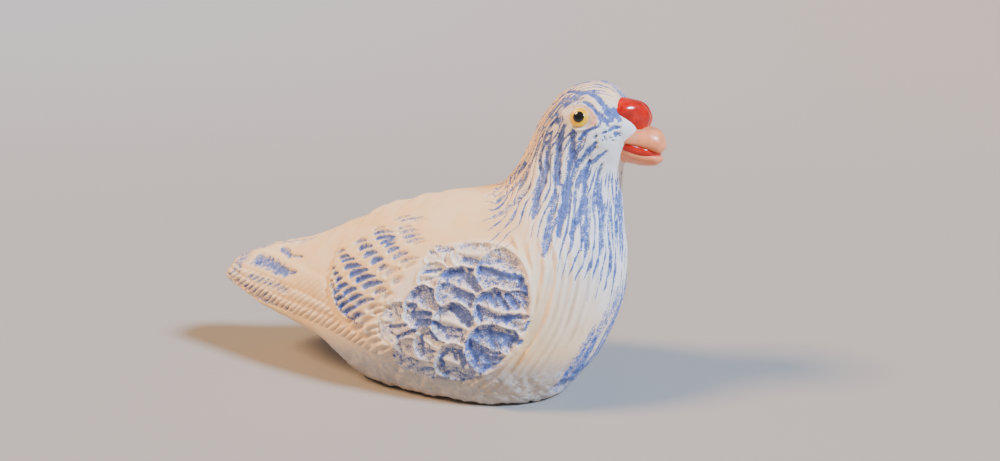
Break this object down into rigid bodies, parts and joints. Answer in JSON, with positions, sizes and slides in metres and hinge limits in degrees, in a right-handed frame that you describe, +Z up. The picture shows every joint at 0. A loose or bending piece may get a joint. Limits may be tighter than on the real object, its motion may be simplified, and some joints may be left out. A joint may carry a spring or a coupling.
{
  "type": "pigeon figurine",
  "caption": "Standing pigeon ornament in painted terracotta, with carved wing feathers, a combed neck, a bulbous cere and beak, and a flat base.",
  "frame": {"origin": "on the flat underside, under the middle of the body", "axes": "+X from the tail to the beak, +Y to the bird's left, +Z up from the surface it stands on"},
  "size_m": [0.1532, 0.0646, 0.094],
  "materials": {
    "painted_terracotta": "fired clay with matt cream and blue paint, the cere, beak and eyes in gloss enamel"
  },
  "bodies": {
    "root": {"bird": "painted_terracotta"}
  },
  "joints": []
}
